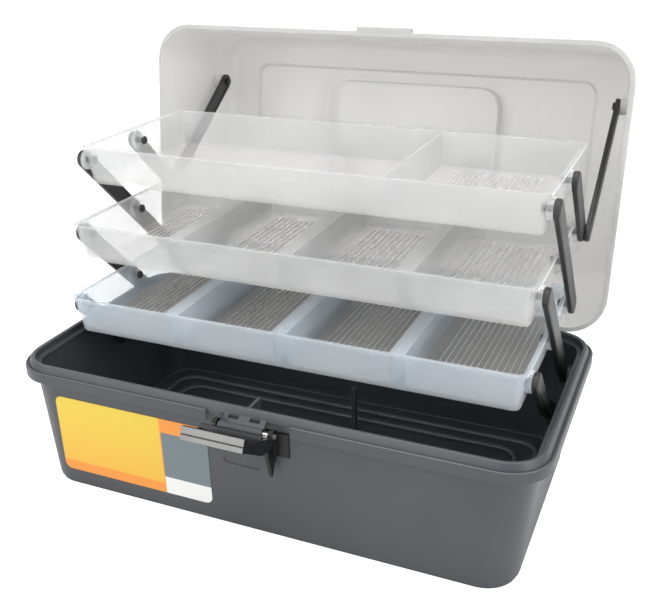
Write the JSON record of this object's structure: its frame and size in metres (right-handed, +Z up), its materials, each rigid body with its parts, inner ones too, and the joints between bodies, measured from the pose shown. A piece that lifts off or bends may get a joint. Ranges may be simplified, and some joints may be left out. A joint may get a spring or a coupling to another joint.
{
  "type": "tackle box",
  "caption": "Moulded tackle box; a clear lid hinged at the back spreads three cantilever trays in steps on side arms, with a front latch and a carry handle.",
  "frame": {"origin": "middle of the tub's flat underside", "axes": "+X along the box to the right seen from the latch side, +Y from the latch side to the hinge side, +Z up"},
  "size_m": [0.369, 0.3694, 0.2912],
  "materials": {
    "tub_plastic": "satin moulded",
    "lid_clear": "milky translucent",
    "tray_clear": "milky translucent",
    "arm_plastic": "satin moulded",
    "pin_plastic": "satin moulded",
    "pin_steel": "drawn wire",
    "latch_black": "satin moulded",
    "handle_plastic": "satin moulded",
    "label_print": "printed sticker, colour blocks only"
  },
  "bodies": {
    "base": {"base_tub": "tub_plastic", "front_label": "label_print", "hinge_pins": "pin_steel", "pins_base": "pin_plastic", "latch_bracket": "latch_black", "latch_pin": "pin_steel"},
    "lid": {"lid_shell": "lid_clear", "handle_pins": "pin_plastic", "pins_lid": "pin_plastic"},
    "handle": {"carry_handle": "handle_plastic"},
    "latch": {"latch_lever": "latch_black"},
    "arm_a": {"arm_a_left": "arm_plastic", "arm_a_right": "arm_plastic"},
    "arm_b": {"arm_b_left": "arm_plastic", "arm_b_right": "arm_plastic"},
    "arm_c": {"arm_c_left": "arm_plastic", "arm_c_right": "arm_plastic"},
    "arm_d": {"arm_d_left": "arm_plastic", "arm_d_right": "arm_plastic"},
    "tray_bottom": {"tray_bottom": "tray_clear", "pins_bottom_tray": "pin_plastic"},
    "tray_middle": {"tray_middle": "tray_clear", "pins_middle_tray": "pin_plastic"},
    "tray_top": {"tray_top": "tray_clear", "pins_top_tray": "pin_plastic"},
    "lid_link": {"lid_link_left": "arm_plastic", "lid_link_right": "arm_plastic"}
  },
  "joints": [
    {"name": "lid_hinge", "type": "hinge", "parent": "base", "child": "lid", "pos_m": [0, 0.103, 0.0903], "axis": [1, 0, 0], "range_deg": [0, 97.4]},
    {"name": "arm_b_swing", "type": "hinge", "parent": "base", "child": "arm_b", "pos_m": [0, 0.074, 0.0665], "axis": [1, 0, 0], "range_deg": [0, 21.3]},
    {"name": "arm_a_swing", "type": "hinge", "parent": "base", "child": "arm_a", "pos_m": [0, 0.0132, 0.0665], "axis": [1, 0, 0], "range_deg": [0, 21.3]},
    {"name": "tray_bottom_level", "type": "hinge", "parent": "arm_b", "child": "tray_bottom", "pos_m": [0, 0.02644, 0.1144], "axis": [1, 0, 0], "range_deg": [-21.3, 0]},
    {"name": "tray_middle_level", "type": "hinge", "parent": "arm_b", "child": "tray_middle", "pos_m": [0, -0.02289, 0.16407], "axis": [1, 0, 0], "range_deg": [-21.3, 0]},
    {"name": "arm_c_swing", "type": "hinge", "parent": "tray_middle", "child": "arm_c", "pos_m": [0, 0.03791, 0.16407], "axis": [1, 0, 0], "range_deg": [0, 21.3]},
    {"name": "arm_d_swing", "type": "hinge", "parent": "tray_middle", "child": "arm_d", "pos_m": [0, 0.09871, 0.16407], "axis": [1, 0, 0], "range_deg": [0, 21.3]},
    {"name": "tray_top_level", "type": "hinge", "parent": "arm_c", "child": "tray_top", "pos_m": [0, -0.01141, 0.21374], "axis": [1, 0, 0], "range_deg": [-21.3, 0]},
    {"name": "lid_link_swing", "type": "hinge", "parent": "lid", "child": "lid_link", "pos_m": [0, 0.19894, 0.23112], "axis": [1, 0, 0], "range_deg": [0, 28.25]},
    {"name": "handle_swing", "type": "hinge", "parent": "lid", "child": "handle", "pos_m": [0, 0.21573, 0.17408], "axis": [1, 0, 0], "range_deg": [-7, 172]},
    {"name": "latch_swing", "type": "hinge", "parent": "base", "child": "latch", "pos_m": [0, -0.099, 0.082], "axis": [1, 0, 0], "range_deg": [-62, 50]}
  ],
  "couplings": [
    {"joint": "arm_b_swing", "follows": "lid_hinge", "ratio": 0.21766},
    {"joint": "arm_a_swing", "follows": "lid_hinge", "ratio": 0.21766},
    {"joint": "tray_bottom_level", "follows": "lid_hinge", "ratio": -0.21766},
    {"joint": "tray_middle_level", "follows": "lid_hinge", "ratio": -0.21766},
    {"joint": "arm_c_swing", "follows": "lid_hinge", "ratio": 0.21766},
    {"joint": "arm_d_swing", "follows": "lid_hinge", "ratio": 0.21766},
    {"joint": "tray_top_level", "follows": "lid_hinge", "ratio": -0.21766},
    {"joint": "lid_link_swing", "follows": "lid_hinge", "ratio": 0.28905}
  ]
}
